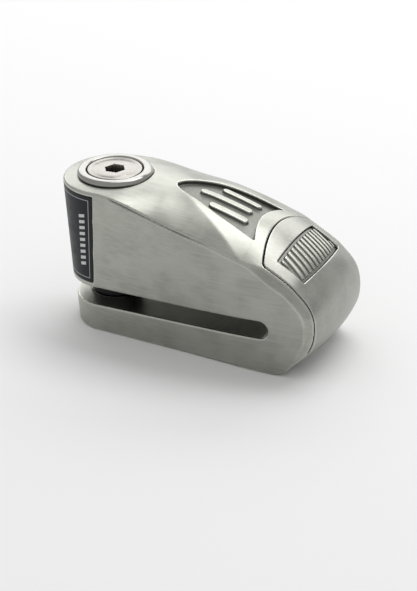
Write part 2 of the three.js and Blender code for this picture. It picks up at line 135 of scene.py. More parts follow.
def spline(points, per_span=14):
    """Centripetal Catmull-Rom curve through the points."""
    p = np.array(points, float)
    p = np.vstack([2 * p[0] - p[1], p, 2 * p[-1] - p[-2]])
    t = np.concatenate([[0], np.cumsum(np.sqrt(np.linalg.norm(np.diff(p, axis=0), axis=1)))])
    out = []
    for i in range(1, len(p) - 2):
        t0, t1, t2, t3 = t[i - 1:i + 3]
        for s in np.linspace(t1, t2, per_span, endpoint=False):
            a1 = (t1 - s) / (t1 - t0) * p[i - 1] + (s - t0) / (t1 - t0) * p[i]
            a2 = (t2 - s) / (t2 - t1) * p[i] + (s - t1) / (t2 - t1) * p[i + 1]
            a3 = (t3 - s) / (t3 - t2) * p[i + 1] + (s - t2) / (t3 - t2) * p[i + 2]
            b1 = (t2 - s) / (t2 - t0) * a1 + (s - t0) / (t2 - t0) * a2
            b2 = (t3 - s) / (t3 - t1) * a2 + (s - t1) / (t3 - t1) * a3
            out.append((t2 - s) / (t2 - t1) * b1 + (s - t1) / (t2 - t1) * b2)
    out.append(p[-2])
    return np.array(out)


def polygon_field(outline, px, py):
    """Signed distance in the plane to a closed outline."""
    best = np.full(px.shape, 1e9)
    inside = np.zeros(px.shape, bool)
    for (x1, y1), (x2, y2) in zip(outline, np.roll(outline, -1, axis=0)):
        dx, dy = x2 - x1, y2 - y1
        t = np.clip(((px - x1) * dx + (py - y1) * dy) / max(dx * dx + dy * dy, 1e-12), 0.0, 1.0)
        best = np.minimum(best, (px - x1 - t * dx) ** 2 + (py - y1 - t * dy) ** 2)
        if y1 != y2:
            inside ^= ((y1 > py) != (y2 > py)) & (px < dx * (py - y1) / dy + x1)
    best = np.sqrt(best)
    return np.where(inside, -best, best)


def softened(g, passes):
    """Grid averaged with its neighbours, once for each pass."""
    for _ in range(passes):
        g = np.pad(g, 1, mode="edge")
        g = (g[:-2, 1:-1] + g[2:, 1:-1] + 2 * g[1:-1, 1:-1]) / 4
        g = np.pad(g, 1, mode="edge")
        g = (g[1:-1, :-2] + g[1:-1, 2:] + 2 * g[1:-1, 1:-1]) / 4
    return g


def grid_reader(outline, step, margin=6.0, passes=0):
    """Function that reads an outline's field at any point from a grid made once."""
    gx = np.arange(outline[:, 0].min() - margin, outline[:, 0].max() + margin, step)
    gy = np.arange(outline[:, 1].min() - margin, outline[:, 1].max() + margin, step)
    g = softened(polygon_field(outline, *np.meshgrid(gx, gy, indexing="ij")), passes).astype(np.float32)

    def read(x, y):
        fx = np.clip((x - gx[0]) / step, 0, len(gx) - 1.001)
        fy = np.clip((y - gy[0]) / step, 0, len(gy) - 1.001)
        i, j = fx.astype(np.int32), fy.astype(np.int32)
        a, b = fx - i, fy - j
        low = g[i, j] * (1 - a) + g[i + 1, j] * a
        high = g[i, j + 1] * (1 - a) + g[i + 1, j + 1] * a
        return low * (1 - b) + high * b

    return read


profile_field = grid_reader(spline(OVER), 0.25, 10.0, 3)


def facet_drop(x, y):
    """Extra fall outside a crisp line that spreads from the centre to the side faces."""
    width = half_at_crease(x)
    line = 0.63 * (x - 20)
    beyond = soft_ramp(np.abs(y) - line, 0.4) - np.maximum(width - line, 0) * (y / width) ** 2
    return 0.22 * smooth(24, 38, x) * (1 - smooth(58, 70, x)) * beyond


def crest_field(x, y, z):
    """Distance to the crowned top, nose and chin surface."""
    top = 0.0047 + 0.0073 * smooth(2, 30, x) - 0.003 * smooth(52, 78, x)
    fall = top * smooth(4, 26, z) * (1 - 0.6 * smooth(80, 90, x)) * y * y + facet_drop(x, y)
    back = 0.0042 * smooth(60, 84, x) * smooth(-13, -9, z) * y * y
    return np.maximum(profile_field(x + back, z + fall), under(x) - z)


def half_at_crease(x):
    """Half width at the edge between the top and a side face."""
    return 25 - 0.155 * soft_ramp(39 - x, 5)


def half_at_slot(x):
    """Half width just under the slot's floor."""
    return 24.2 - 0.105 * soft_ramp(61 - x, 5)


def crease_height(x):
    return 45.4 - 0.243 * x


def half_width(x, z):
    t = np.clip((z + 2) / (crease_height(x) + 2), -0.25, 1.15)
    low = half_at_slot(x)
    return low + (half_at_crease(x) - low) * t


def flank_field(x, y, z):
    """Distance to the side faces and the round rear."""
    rx = REAR_RADIUS - REAR_HEEL * (RIM - z) - REAR_JAW * (1 - smooth(0.5, 6.5, z))
    ry = half_width(0.0 * x, z)
    rear = np.hypot(x * ry / rx, y) - ry
    return np.where(x >= 0, np.abs(y) - half_width(x, z), rear)


def label_front(z):
    """Where the rear label's front edge stands at a height."""
    return -2.1 + 1.1 * (z - LABEL_LOW) / (LABEL_HIGH - LABEL_LOW)


def outer_field(x, y, z, crest):
    """Crest joined to the sides: rounded on the body and chin, bevelled on the nose."""
    flank = flank_field(x, y, z)
    bevel = 3.1 * smooth(56, 73, x) * smooth(-11, -2, z)
    f = meet(crest, flank, 0.9 - 0.4 * smooth(56, 66, x))
    return meet(f, (crest + flank + bevel) / math.sqrt(2) + 0.25 * (1 - smooth(54, 60, x)) - 0.25, 0.45)


# ---- cutters ---------------------------------------------------------------------------------
def slot_field(x, y, z):
    mid = SLOT_HEIGHT / 2
    flat = np.abs(z - mid) - mid
    tip = np.hypot(x - SLOT_END, z - mid) - mid
    return np.where(x < SLOT_END, flat, tip)


def cap_space_field(x, y, z, side, shift):
    rear = (ARCH_APEX + shift + ARCH_BOW * y * y - x) * 0.98
    return meet(rear, np.abs(y) - side, 1.2)


def pocket_outline():
    flank = [
        (25, 0), (26.3, 2.4), (30, 5.2), (35, 7.5), (40, 9.4), (45, 11), (50, 12.1), (55, 13), (60.4, 13.9),
    ]
    front = [(60.4, 13.9), (59.3, 10.5), (58.4, 6.5), (57.9, 3), (57.7, 0)]
    half = np.vstack([spline(flank, 6), spline(front, 5)[1:]])
    return np.vstack([half, (half * [1, -1])[::-1][1:-1]])


read_pocket = grid_reader(pocket_outline(), 0.2)


def bar_field(x, y, x0, x1, y0, half):
    """Round-ended straight bar seen from above."""
    cx = np.clip(x, x0 + half, x1 - half)
    return np.hypot(x - cx, y - y0) - half


POCKET_RIBS = [(-6.4, 40, 55), (0, 34, 54), (6.4, 40, 55)]


def pocket_field(x, y, z, crest):
    """Recess in the top with three straight ribs left standing."""
    space = meet(read_pocket(x, y), -(crest + POCKET_DEPTH), 0.35)
    ribs = np.full(x.shape, 1e3, np.float32)
    for y0, x0, x1 in POCKET_RIBS:
        ribs = np.minimum(ribs, bar_field(x, y, x0, x1, y0, 1.5))
    ribs = meet(ribs, crest + POCKET_RIB, 0.35)
    return meet(space, -ribs, 0.25)


def bore_field(x, y, z):
    r = np.hypot(x, y)
    barrel = meet(r - BORE["barrel"], BORE["floor"] - z, 0.1)
    collar = np.maximum(r - BORE["collar"], BORE["step"] - z)
    neck = meet(r - BORE["neck"], -0.1 - z, 0.1)
    socket = np.maximum(r - BORE["socket"], np.maximum(z + 0.05, SOCKET_FLOOR - z))
    return np.minimum.reduce([barrel, collar, neck, socket])


CAVITY = np.array([
    (27, 9.6), (71.6, 9.6), (71.6, -5), (95, -5), (95, 24), (70, 24), (62, 28), (50, 33), (27, 34.5),
])
read_cavity = grid_reader(CAVITY, 0.4)


def cavity_field(x, y, z):
    return np.maximum(read_cavity(x, z), np.abs(y) - 16)


def mechanism_field(x, y, z):
    """Holes for the guide pin, the plunger, its switch and the locking dogs."""
    pin = np.maximum(np.hypot(y, z - 39.5) - 1.5, np.maximum(x + 5, -30 - x))
    plunger = np.maximum(np.hypot(y, z - 38.6) - 1.25, np.maximum(x - 28, 10 - x))
    switch = np.maximum(np.abs(y) - 4.5, np.maximum(np.abs(x - 29.5) - 5, np.abs(z - 37.4) - 3.5))
    reach = np.abs(y) - DOG["reach"]
    lower = np.maximum(np.hypot(x, z - DOG["low"]) - DOG["hole"], reach)
    upper = np.maximum(np.hypot(x, z - DOG["high"]) - DOG["hole"], reach)
    return np.minimum.reduce([pin, plunger, switch, lower, upper])


def crease_groove(x, y, z):
    """Fine line along the edge between the top and each side face."""
    reach = smooth(3, 8, x) * (1 - smooth(56, 61, x))
    d = np.hypot(np.abs(y) - half_at_crease(x) + 0.05, z - crease_height(x) - 0.2)
    return d - 0.55 * reach + 0.3 * (1 - reach)


def label_bed_field(x, y, z):
    """Shallow band round the rear that takes the label, with a small margin round it."""
    level = np.abs(z - LABEL_MIDDLE) - LABEL_HALF - 0.2
    zone = np.maximum(x - label_front(z) - 0.2, level)
    return np.maximum(-(flank_field(x, y, z) + LABEL_SINK), zone)


def body_field(x, y, z):
    crest = crest_field(x, y, z)
    f = outer_field(x, y, z, crest)
    f = meet(f, -crease_groove(x, y, z), 0.12)
    f = meet(f, -slot_field(x, y, z), 0.55)
    seat = meet(cap_space_field(x, y, z, SIDE_SEAT, 0.0), -(crest + CAP_SEAT), 0.3)
    seat = np.maximum(seat, CAP_FOOT - 0.3 - z)
    f = meet(f, -seat, 0.22)
    f = meet(f, -pocket_field(x, y, z, crest), 0.4)
    f = meet(f, -bore_field(x, y, z), 0.35)
    f = np.maximum(f, -cavity_field(x, y, z))
    f = np.maximum(f, -mechanism_field(x, y, z))
    f = np.maximum(f, -label_bed_field(x, y, z))
    for side in (-1, 1):
        r = np.hypot(x - CAP_SCREW["x"], y - CAP_SCREW["y"] * side)
        f = meet(f, -np.maximum(r - CAP_SCREW["radius"], z - CAP_SCREW["head"]), 0.25)
    return f


def cap_field(x, y, z):
    crest = crest_field(x, y, z)
    shell = outer_field(x, y, z, crest)
    space = cap_space_field(x, y, z, SIDE_CAP, CAP_GAP)
    space = meet(space, CAP_FOOT - z, 0.6)
    f = meet(shell, space, 0.32)
    f = meet(f, -(crest + CAP_WALL), 0.2)
    recess = meet(plate_outline_field(x, y, z, 0.0), -(crest + PLATE["recess"]), 0.25)
    return meet(f, -recess, 0.3)


def plate_frame(x, y, z):
    """Coordinates on the cap's slope: down the slope, and out of it."""
    c, s = math.cos(PLATE["tilt"]), math.sin(PLATE["tilt"])
    dx, dz = x - PLATE["x"], z - PLATE["z"]
    return dx * c - dz * s, dx * s + dz * c


def plate_outline_field(x, y, z, trim):
    u, _ = plate_frame(x, y, z)
    a, b = PLATE["length"] / 2 - trim, PLATE["half"] - trim
    t = (y / PLATE["half"]) ** 2
    ends = np.maximum(u - a + 0.6 * t, -u - a + 1.0 * t)
    return meet(ends, np.abs(y) - b, 0.5)


def plate_field(x, y, z):
    crest = crest_field(x, y, z)
    floor = meet(plate_outline_field(x, y, z, 0.15), crest + 1.1, 0.15)
    u, _ = plate_frame(x, y, z)
    lean = y + (u - 0.4) * math.tan(PLATE_RIB["lean"])
    pitch = PLATE_RIB["pitch"]
    ribs = np.abs((lean + pitch / 2) % pitch - pitch / 2) - PLATE_RIB["half"]
    ribs = meet(ribs, plate_outline_field(x, y, z, PLATE_RIB["margin"]), 0.3)
    ribs = meet(ribs, crest + 0.3, 0.3)
    ribs = np.maximum(ribs, -(crest + 1.45))
    f = join(floor, ribs, 0.2)
    return np.maximum(f, -(crest + 1.5))


# ---- surface extraction ----------------------------------------------------------------------
def surface_nets(f, origin, cell):
    """Quads around the zero level of a grid, one vertex in each crossed cell."""
    solid = f < 0
    count = np.zeros(tuple(n - 1 for n in f.shape), np.int8)
    for i in (0, 1):
        for j in (0, 1):
            for k in (0, 1):
                count += solid[i:f.shape[0] - 1 + i, j:f.shape[1] - 1 + j, k:f.shape[2] - 1 + k]
    ids = np.argwhere((count > 0) & (count < 8))
    lookup = -np.ones(count.shape, np.int32)
    lookup[tuple(ids.T)] = np.arange(len(ids))
    total, hits = np.zeros((len(ids), 3)), np.zeros(len(ids))
    for axis in range(3):
        o1, o2 = [t for t in range(3) if t != axis]
        for p in (0, 1):
            for q in (0, 1):
                a = ids.copy()
                a[:, o1] += p
                a[:, o2] += q
                b = a.copy()
                b[:, axis] += 1
                fa, fb = f[tuple(a.T)], f[tuple(b.T)]
                cut = (fa < 0) != (fb < 0)
                step = np.where(cut, fa / np.where(cut, fa - fb, 1), 0)
                here = a.astype(float)
                here[:, axis] += step
                total[cut] += here[cut]
                hits[cut] += 1
    verts = np.asarray(origin) + cell * total / hits[:, None]
    quads = []
    for axis in range(3):
        o1, o2 = [t for t in range(3) if t != axis]
        low, high = [slice(None)] * 3, [slice(None)] * 3
        low[axis], high[axis] = slice(0, -1), slice(1, None)
        edges = np.argwhere(solid[tuple(low)] != solid[tuple(high)])
        fits = (edges[:, o1] > 0) & (edges[:, o2] > 0)
        fits &= (edges[:, o1] < f.shape[o1] - 1) & (edges[:, o2] < f.shape[o2] - 1)
        edges = edges[fits]
        corners = []
        for d1, d2 in ((-1, -1), (0, -1), (0, 0), (-1, 0)):
            c = edges.copy()
            c[:, o1] += d1
            c[:, o2] += d2
            corners.append(lookup[tuple(c.T)])
        q = np.stack(corners, -1)
        out = solid[tuple(edges.T)]
        if axis == 1:
            out = ~out
        q[~out] = q[~out][:, ::-1]
        quads.append(q)
    return verts, np.concatenate(quads)


def sample(f, origin, cell, points):
    """Trilinear reading of a grid at points."""
    g = (points - origin) / cell
    top = np.array(f.shape) - 1.001
    g = np.clip(g, 0, top)
    i = g.astype(np.int32)
    a = g - i
    out = np.zeros(len(points))
    for dx in (0, 1):
        for dy in (0, 1):
            for dz in (0, 1):
                step = np.array([dx, dy, dz])
                w = np.prod(np.where(step, a, 1 - a), axis=1)
                out += w * f[tuple((i + step).T)]
    return out


def gradient(f, origin, cell, points):
    out = np.zeros((len(points), 3))
    for axis in range(3):
        step = np.zeros(3)
        step[axis] = 0.6 * cell
        out[:, axis] = sample(f, origin, cell, points + step) - sample(f, origin, cell, points - step)
    return out / np.maximum(np.linalg.norm(out, axis=1, keepdims=True), 1e-9)


def curvature(f, origin, cell, points):
    """Positive on outer edges, negative in inner corners, about 1 at a radius of half a millimetre."""
    total = -6 * sample(f, origin, cell, points)
    for axis in range(3):
        for way in (-1, 1):
            step = np.zeros(3)
            step[axis] = way * cell
            total += sample(f, origin, cell, points + step)
    return np.clip(0.5 * total / cell ** 2, -1, 1)


def sculpt(name, field, low, high, cell, budget, mirrored=True, **masks):
    """Mesh object of a field's zero level, with each mask and the edge curvature as attributes.

    mirrored: the field is even in y and only half of it is computed.
    """
    xs = np.arange(low[0], high[0] + cell, cell)
    zs = np.arange(low[2], high[2] + cell, cell)
    n = int(math.ceil(high[1] / cell))
    ys = np.arange(0 if mirrored else -n, n + 1) * cell
    f = np.empty((len(xs), len(ys), len(zs)), np.float32)
    y, z = np.meshgrid(ys, zs, indexing="ij")
    for start in range(0, len(xs), 24):
        block = xs[start:start + 24, None, None] + 0 * y[None]
        yy, zz = y[None] + 0 * block, z[None] + 0 * block
        f[start:start + 24] = field(block, yy, zz)
    if mirrored:
        f = np.concatenate([f[:, :0:-1], f], axis=1)
    origin = np.array([xs[0], -n * cell, zs[0]])
    verts, quads = surface_nets(f, origin, cell)
    for _ in range(2):
        value = sample(f, origin, cell, verts)
        verts = verts - np.clip(value, -0.3 * cell, 0.3 * cell)[:, None] * gradient(f, origin, cell, verts)
    mesh = bpy.data.meshes.new(name)
    mesh.from_pydata(verts.tolist(), [], quads.tolist())
    obj = bpy.data.objects.new(name, mesh)
    bpy.context.scene.collection.objects.link(obj)
    triangles = 2 * len(quads)
    if triangles > budget:
        mod = obj.modifiers.new("thin", "DECIMATE")
        mod.ratio = budget / triangles
        deps = bpy.context.evaluated_depsgraph_get()
        thin = bpy.data.meshes.new_from_object(obj.evaluated_get(deps))
        obj.modifiers.clear()
        obj.data = thin
        bpy.data.meshes.remove(mesh)
        mesh = thin
    co = np.zeros(len(mesh.vertices) * 3)
    mesh.vertices.foreach_get("co", co)
    co = co.reshape(-1, 3)
    normals = gradient(f, origin, cell, co)
    masks_at = {key: mask(*co.T) for key, mask in masks.items()}
    masks_at["edge"] = curvature(f, origin, cell, co)
    for key, values in masks_at.items():
        mesh.attributes.new(key, "FLOAT", "POINT").data.foreach_set("value", values.astype(np.float32))
    basis = np.array([FORWARD, (0.0, 1.0, 0.0), AXIS])
    mesh.vertices.foreach_set("co", to_row(co).ravel())
    mesh.polygons.foreach_set("use_smooth", np.ones(len(mesh.polygons), bool))
    mesh.update()
    mesh.normals_split_custom_set_from_vertices((normals @ basis).tolist())
    return obj


# ---- turned and swept pieces -----------------------------------------------------------------
def link(name, verts, faces, smooth_angle=30):
    mesh = bpy.data.meshes.new(name)
    mesh.from_pydata(to_row(verts).tolist(), [], faces)
    mesh.validate()
    bm = bmesh.new()
    bm.from_mesh(mesh)
    bmesh.ops.recalc_face_normals(bm, faces=bm.faces)
    bm.to_mesh(mesh)
    bm.free()
    mesh.polygons.foreach_set("use_smooth", np.ones(len(mesh.polygons), bool))
    mesh.set_sharp_from_angle(angle=math.radians(smooth_angle))
    obj = bpy.data.objects.new(name, mesh)
    bpy.context.scene.collection.objects.link(obj)
    return obj


def rings_object(name, rings, closed=True):
    """Skin over rings of equal length; closed joins the last ring to the first."""
    n = len(rings[0])
    verts = [tuple(p) for ring in rings for p in ring]
    faces = []
    last = len(rings) if closed else len(rings) - 1
    for r in range(last):
        a0, b0 = r * n, ((r + 1) % len(rings)) * n
        for i in range(n):
            j = (i + 1) % n
            faces.append((a0 + i, a0 + j, b0 + j, b0 + i))
    if not closed:
        faces.append(tuple(range(n)))
        faces.append(tuple(range((len(rings) - 1) * n, len(rings) * n)))
    return link(name, verts, faces)


def circle(r, z, n=128):
    a = np.arange(n) * 2 * math.pi / n
    return np.stack([r * np.cos(a), r * np.sin(a), np.full(n, z)], -1)


def hexagon(across, z, n=128):
    """Points of a circle of rays laid on a hexagon, corners along x."""
    a = np.arange(n) * 2 * math.pi / n
    fold = (a % (math.pi / 3)) - math.pi / 6
    r = across / 2 * math.cos(math.pi / 6) / np.cos(fold)
    return np.stack([r * np.cos(a), r * np.sin(a), np.full(n, z)], -1)


def arc(cx, cz, r, a0, a1, n=8):
    """Profile points (radius, z) on a circular arc, angles in degrees."""
    angles = np.radians(np.linspace(a0, a1, n))
    return [(cx + r * math.cos(a), cz + r * math.sin(a)) for a in angles]


def turned(name, profile, closed=True):
    return rings_object(name, [circle(r, z) for r, z in profile], closed)


def make_button_ring():
    outer = arc(12.4, 46.0, 1.44, -10, 96, 16)
    inner = arc(11.15, 46.72, 0.7, 90, 176, 8)
    profile = [(10.4, 43.7), (11.85, 43.7), (11.85, 45.9), (13.6, 45.9), *outer, *inner, (10.4, 46.2)]
    return turned("button_ring_shell", profile)


def make_key_face():
    rings = [
        hexagon(7.8, 43.7), hexagon(7.8, 46.95), hexagon(7.95, 47.15), hexagon(8.3, 47.24),
        circle(5.3, 47.25), circle(8.3, 47.25), circle(8.45, 47.17), circle(8.7, 47.13),
        circle(8.95, 47.17), circle(9.1, 47.25), circle(9.7, 47.25), circle(9.95, 47.12),
        circle(10.06, 46.8), circle(10.06, 43.7),
    ]
    return rings_object("key_face_plate", rings)


def make_shutter():
    profile = [(0.01, 42.62), (6.85, 42.62), (6.85, 43.28), (0.01, 43.28)]
    return turned("keyway_shutter", profile, closed=False)


def make_sleeve():
    profile = [(7.15, 0.35), (9.2, 0.35), *arc(9.2, 0.85, 0.5, -90, 0, 5), (9.7, 22.85), (7.15, 22.85)]
    return turned("bolt_sleeve_shell", profile)


def make_bolt():
    profile = [(0.01, -7.15), (5.6, -7.15), *arc(5.9, -6.05, 1.08, -90, 0, 6), (6.98, 22.95), (0.01, 22.95)]
    return turned("bolt_pin", profile, closed=False)


def make_label():
    """Thin film wrapped round the rear; its UV runs along the wrap and up the height, in mm."""
    stops = np.linspace(0, 1, 73)
    heights = np.linspace(LABEL_LOW, LABEL_HIGH, 25)
    outer, inner, uv = [], [], []
    for z in heights:
        rx, ry = REAR_RADIUS - REAR_HEEL * (RIM - z), float(half_width(np.array(0.0), z))
        start = math.pi / 2 + math.asin(-label_front(z) / rx)
        a = start + stops * (2 * math.pi - 2 * start)
        p = np.stack([rx * np.cos(a), ry * np.sin(a), np.full(len(a), z)], -1)
        n = np.stack([np.cos(a) / rx, np.sin(a) / ry, 0 * a], -1)
        n /= np.linalg.norm(n, axis=1, keepdims=True)
        outer.append(p - 0.03 * n)
        inner.append(p - 0.27 * n)
        run = np.concatenate([[0], np.cumsum(np.linalg.norm(np.diff(p, axis=0), axis=1))])
        uv.append(np.stack([LABEL_RUN * (1 - run / run[-1]), np.full(len(a), z)], -1))
    rows, cols = len(heights), len(stops)
    verts = np.concatenate([np.concatenate(outer), np.concatenate(inner)])
    faces = []
    half = rows * cols
    for r in range(rows - 1):
        for c in range(cols - 1):
            i = r * cols + c
            faces.append((i, i + 1, i + 1 + cols, i + cols))
            faces.append((half + i, half + i + cols, half + i + 1 + cols, half + i + 1))
    rim = list(range(cols)) + [r * cols + cols - 1 for r in range(1, rows)]
    rim += [(rows - 1) * cols + c for c in range(cols - 2, -1, -1)]
    rim += [r * cols for r in range(rows - 2, 0, -1)]
    for a, b in zip(rim, rim[1:] + rim[:1]):
        faces.append((a, half + a, half + b, b))
    obj = link("rear_label_film", verts, faces, 40)
    flat = np.concatenate(uv + uv)
    layer = obj.data.uv_layers.new(name="wrap")
    loops = np.zeros(len(obj.data.loops), np.int32)
    obj.data.loops.foreach_get("vertex_index", loops)
    layer.data.foreach_set("uv", flat[loops].ravel())
    return obj


# ---- materials -------------------------------------------------------------------------------
class Shader:
    """One material and short calls that add nodes to it. Texture space is the object's, in metres."""

    def __init__(self, name, color, metallic, roughness):
        self.material = bpy.data.materials.new(name)
        self.material.use_nodes = True
        self.tree = self.material.node_tree
        self.bsdf = self.tree.nodes["Principled BSDF"]
        self.bsdf.inputs["Base Color"].default_value = (*color, 1)
        self.bsdf.inputs["Metallic"].default_value = metallic
        self.bsdf.inputs["Roughness"].default_value = roughness
        self.place = self.node("ShaderNodeTexCoord").outputs["Object"]

    def node(self, kind, **settings):
        n = self.tree.nodes.new(kind)
        for key, value in settings.items():
            setattr(n, key, value)
        return n

    def feed(self, socket, value):
        if hasattr(value, "links"):
            self.tree.links.new(value, socket)
        else:
            socket.default_value = value

    def math(self, operation, a, b=0.0):
        n = self.node("ShaderNodeMath", operation=operation)
        self.feed(n.inputs[0], a)
        self.feed(n.inputs[1], b)
        return n.outputs[0]

    def spread(self, value, low, high, to_low=0.0, to_high=1.0):
        n = self.node("ShaderNodeMapRange", interpolation_type="SMOOTHSTEP")
        for socket, v in zip(n.inputs, (value, low, high, to_low, to_high)):
            self.feed(socket, v)
        return n.outputs[0]

    def noise(self, size_mm, stretch=(1, 1, 1), detail=3.0, turn=0.0, rough=0.5):
        """Noise whose features are size_mm across, longer along the axes of stretch."""
        m = self.node("ShaderNodeMapping")
        self.feed(m.inputs["Vector"], self.place)
        m.inputs["Rotation"].default_value = (0, turn, 0)
        m.inputs["Scale"].default_value = [1000 / (size_mm * s) for s in stretch]
        n = self.node("ShaderNodeTexNoise")
        self.feed(n.inputs["Vector"], m.outputs[0])
        n.inputs["Scale"].default_value = 1.0
        n.inputs["Detail"].default_value = detail
        n.inputs["Roughness"].default_value = rough
        return n.outputs["Fac"]

    def attribute(self, name):
        return self.node("ShaderNodeAttribute", attribute_name=name).outputs["Fac"]

    def mix(self, factor, a, b):
        n = self.node("ShaderNodeMix", data_type="RGBA")
        for socket, v in zip((n.inputs[0], n.inputs[6], n.inputs[7]), (factor, a, b)):
            self.feed(socket, (*v, 1) if isinstance(v, tuple) else v)
        return n.outputs[2]

    def color(self, value):
        self.feed(self.bsdf.inputs["Base Color"], value)

    def rough(self, value):
        self.feed(self.bsdf.inputs["Roughness"], value)

    def bump(self, height, depth_mm, strength=1.0):
        n = self.node("ShaderNodeBump")
        n.inputs["Strength"].default_value = strength
        n.inputs["Distance"].default_value = depth_mm / 1000
        self.feed(n.inputs["Height"], height)
        old = self.bsdf.inputs["Normal"].links
        if old:
            self.feed(n.inputs["Normal"], old[0].from_socket)
        self.feed(self.bsdf.inputs["Normal"], n.outputs[0])


GRAIN_ALONG = (26, 1, 1)


def brushed_casting(name, color, floor_color, roughness):
    """Satin-brushed cast metal: grain along the body, clouds, painted shade in inner corners and where light
    hardly reaches, bright worn edges.
    """
    s = Shader(name, color, 1.0, roughness)
    fine = s.noise(0.22, GRAIN_ALONG, 3, RAKE)
    coarse = s.noise(0.75, (18, 1, 1), 2, RAKE)
    cloud = s.noise(9, detail=4)
    speck = s.noise(0.4, detail=2)
    edge = s.attribute("edge")
    deep = s.attribute("deep")
    dark = tuple(c * 0.82 for c in color)
    light = tuple(min(c * 1.12, 1) for c in color)
    tone = s.mix(s.spread(cloud, 0.3, 0.7), dark, color)
    tone = s.mix(s.spread(coarse, 0.35, 0.75, 0.0, 0.45), tone, light)
    tone = s.mix(s.spread(fine, 0.62, 0.78, 0.0, 0.25), tone, dark)
    wear = s.math("MULTIPLY", s.math("SUBTRACT", cloud, 0.5), 0.5)
    worn = s.spread(s.math("ADD", edge, wear), 0.25, 0.8)
    tone = s.mix(s.math("MULTIPLY", worn, 0.6), tone, tuple(min(c * 1.35, 1) for c in color))
    # painted shade: inner corners darkened to 0.3 of the colour
    tone = s.mix(s.spread(edge, -0.2, -0.75, 0.0, 0.75), tone, tuple(c * 0.3 for c in color))
    # painted shade: the slot, the recess walls and the cap's joint darkened nearly to black
    tone = s.mix(s.attribute("dim"), tone, tuple(c * 0.07 for c in color))
    grit = s.mix(s.spread(speck, 0.35, 0.65), tuple(c * 0.8 for c in floor_color), floor_color)
    s.color(s.mix(deep, tone, grit))
    base = s.math("ADD", s.spread(cloud, 0.2, 0.8, -0.03, 0.05), s.spread(fine, 0.2, 0.8, -0.05, 0.06))
    base = s.math("ADD", base, roughness)
    base = s.math("SUBTRACT", base, s.math("MULTIPLY", worn, 0.08))
    s.rough(s.math("ADD", base, s.math("MULTIPLY", deep, 0.18)))
    smooth_part = s.math("SUBTRACT", 1.0, deep)
    s.bump(s.math("MULTIPLY", fine, smooth_part), 0.006, 0.8)
    s.bump(s.math("MULTIPLY", speck, deep), 0.05, 0.9)
    s.bump(s.noise(14, detail=1), 0.06, 0.5)
    return s.material


def polished_metal(name, color, roughness):
    """Bright turned steel with hairlines and faint handling marks."""
    s = Shader(name, color, 1.0, roughness)
    hair = s.noise(0.12, (30, 1, 1), 2)
    marks = s.noise(4, detail=5, rough=0.65)
    s.color(s.mix(s.spread(marks, 0.45, 0.75, 0.0, 0.5), color, tuple(c * 0.86 for c in color)))
    grime = s.spread(marks, 0.4, 0.8, -0.02, 0.09)
    s.rough(s.math("ADD", s.math("ADD", grime, s.spread(hair, 0.3, 0.8, 0.0, 0.05)), roughness))
    s.bump(hair, 0.002, 0.6)
    return s.material


def faced_metal(name, color, roughness):
    """Lathe-faced steel: fine rings round the bolt axis and soft cloudy wear."""
    s = Shader(name, color, 1.0, roughness)
    m = s.node("ShaderNodeMapping", vector_type="POINT")
    s.feed(m.inputs["Vector"], s.place)
    m.inputs["Location"].default_value = -ORIGIN
    split = s.node("ShaderNodeSeparateXYZ")
    s.feed(split.inputs[0], m.outputs[0])
    lean = s.math("ADD", split.outputs["X"], s.math("MULTIPLY", split.outputs["Z"], math.tan(RAKE)))
    squares = s.math("ADD", s.math("POWER", lean, 2), s.math("POWER", split.outputs["Y"], 2))
    radius = s.math("SQRT", squares)
    rings = s.math("SINE", s.math("MULTIPLY", radius, 2 * math.pi / 0.00042))
    rings = s.math("ADD", s.math("MULTIPLY", rings, 0.5), s.noise(0.5, detail=2))
    cloud = s.noise(5, detail=4)
    s.color(s.mix(s.spread(cloud, 0.3, 0.75), color, tuple(c * 0.84 for c in color)))
    s.rough(s.math("ADD", s.spread(rings, 0.0, 1.2, -0.04, 0.05), roughness))
    s.bump(rings, 0.003, 0.7)
    return s.material


def moulded(name, color, roughness, grain_mm=0.35, depth_mm=0.02, coat=0.0):
    """Moulded plastic or rubber: fine leathery grain, uneven sheen and pale scuffs."""
    s = Shader(name, color, 0.0, roughness)
    s.bsdf.inputs["Coat Weight"].default_value = coat
    grain = s.noise(grain_mm, detail=3)
    cloud = s.noise(6, detail=4, rough=0.6)
    scuff = s.spread(s.noise(1.2, (6, 1, 1), 3), 0.62, 0.8)
    pale = tuple(min(c * 1.6 + 0.02, 1) for c in color)
    ground = s.mix(cloud, color, tuple(c * 0.8 for c in color))
    s.color(s.mix(s.math("MULTIPLY", scuff, 0.35), ground, pale))
    s.rough(s.math("ADD", s.spread(cloud, 0.3, 0.7, -0.05, 0.08), roughness))
    s.bump(grain, depth_mm, 0.6)
    return s.material


def circuit_board_material(name, color):
    """Solder mask with tinned pads on a grid and darker tracks between them."""
    s = Shader(name, color, 0.0, 0.35)
    split = s.node("ShaderNodeSeparateXYZ")
    s.feed(split.inputs[0], s.place)
    cells = [s.math("PINGPONG", split.outputs[i], 0.00127) for i in (0, 1)]
    offsets = [s.math("SUBTRACT", c, 0.000635) for c in cells]
    squares = [s.math("POWER", o, 2) for o in offsets]
    radius = s.math("SQRT", s.math("ADD", squares[0], squares[1]))
    pads = s.spread(radius, 0.00035, 0.00028)
    field = s.noise(5, detail=1)
    pads = s.math("MULTIPLY", pads, s.spread(field, 0.5, 0.56))
    tracks = s.spread(s.noise(1.6, (7, 1, 1), 1), 0.52, 0.56)
    s.color(s.mix(pads, s.mix(tracks, color, tuple(c * 0.6 for c in color)), (0.7, 0.68, 0.62)))
    s.feed(s.bsdf.inputs["Metallic"], pads)
    s.bump(tracks, 0.03, 0.5)
    return s.material


